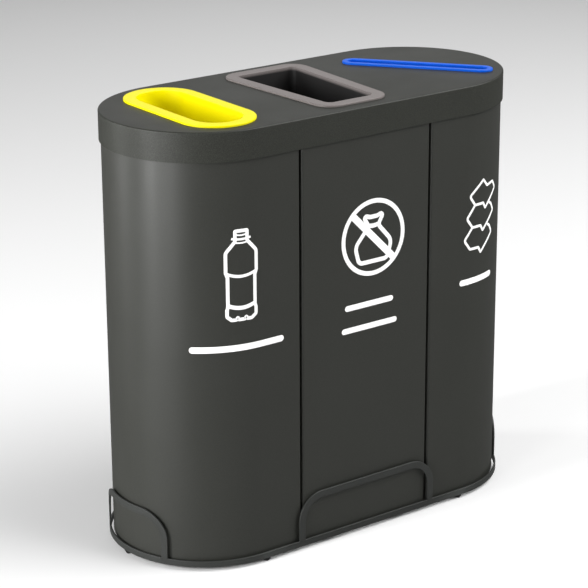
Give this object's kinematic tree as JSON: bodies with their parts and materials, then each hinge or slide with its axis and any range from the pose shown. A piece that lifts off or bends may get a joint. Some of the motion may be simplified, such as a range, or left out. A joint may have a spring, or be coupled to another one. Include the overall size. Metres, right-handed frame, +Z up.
{
  "type": "sorting litter bin",
  "caption": "Stadium-shaped sorting station: sheet-steel bins side by side in a low looped cradle under one common lid with coloured chutes.",
  "frame": {"origin": "on the floor, under the middle of the station", "axes": "+X along the station towards the blue chute, -Y out of the front, +Z up"},
  "size_m": [0.93, 0.41, 0.9072],
  "materials": {
    "anthracite_coat": "matt powder coat",
    "yellow_coat": "satin powder coat",
    "grey_coat": "satin powder coat",
    "blue_coat": "satin powder coat",
    "zinc_plated_steel": "bright zinc",
    "black_rubber": "matt",
    "white_vinyl": "matt film"
  },
  "bodies": {
    "cradle": {"front_band": "anthracite_coat", "rear_band": "anthracite_coat", "left_end_band": "anthracite_coat", "right_end_band": "anthracite_coat", "long_bar": "anthracite_coat", "cross_bars": "anthracite_coat", "feet": "black_rubber"},
    "left_bin": {"left_bin_wrap": "anthracite_coat", "left_bin_side": "anthracite_coat", "left_bin_floor": "anthracite_coat", "left_bin_rim": "anthracite_coat", "left_bag_ring": "zinc_plated_steel", "left_ring_brackets": "anthracite_coat", "left_label": "white_vinyl"},
    "middle_bin": {"middle_bin_front": "anthracite_coat", "middle_bin_rear": "anthracite_coat", "middle_bin_left_side": "anthracite_coat", "middle_bin_right_side": "anthracite_coat", "middle_bin_floor": "anthracite_coat", "middle_bin_rim": "anthracite_coat", "middle_bag_ring": "zinc_plated_steel", "middle_ring_brackets": "anthracite_coat", "middle_label": "white_vinyl"},
    "right_bin": {"right_bin_wrap": "anthracite_coat", "right_bin_side": "anthracite_coat", "right_bin_floor": "anthracite_coat", "right_bin_rim": "anthracite_coat", "right_bag_ring": "zinc_plated_steel", "right_ring_brackets": "anthracite_coat", "right_label": "white_vinyl"},
    "lid": {"lid_shell": "anthracite_coat", "lid_ribs": "anthracite_coat", "lid_buffers": "black_rubber", "yellow_chute": "yellow_coat", "grey_chute": "grey_coat", "blue_chute": "blue_coat", "chute_studs": "zinc_plated_steel", "chute_nuts": "zinc_plated_steel"}
  },
  "joints": [
    {"name": "lid_lift", "type": "slide", "parent": "cradle", "child": "lid", "axis": [0, 0, 1], "range_m": [0, 0.3]},
    {"name": "left_bin_lift", "type": "slide", "parent": "cradle", "child": "left_bin", "axis": [0, 0, 1], "range_m": [0, 0.15]},
    {"name": "middle_bin_lift", "type": "slide", "parent": "cradle", "child": "middle_bin", "axis": [0, 0, 1], "range_m": [0, 0.15]},
    {"name": "right_bin_lift", "type": "slide", "parent": "cradle", "child": "right_bin", "axis": [0, 0, 1], "range_m": [0, 0.15]}
  ],
  "couplings": [
    {"joint": "left_bin_lift", "follows": "lid_lift", "ratio": 0.5},
    {"joint": "middle_bin_lift", "follows": "lid_lift", "ratio": 0.5},
    {"joint": "right_bin_lift", "follows": "lid_lift", "ratio": 0.5}
  ]
}
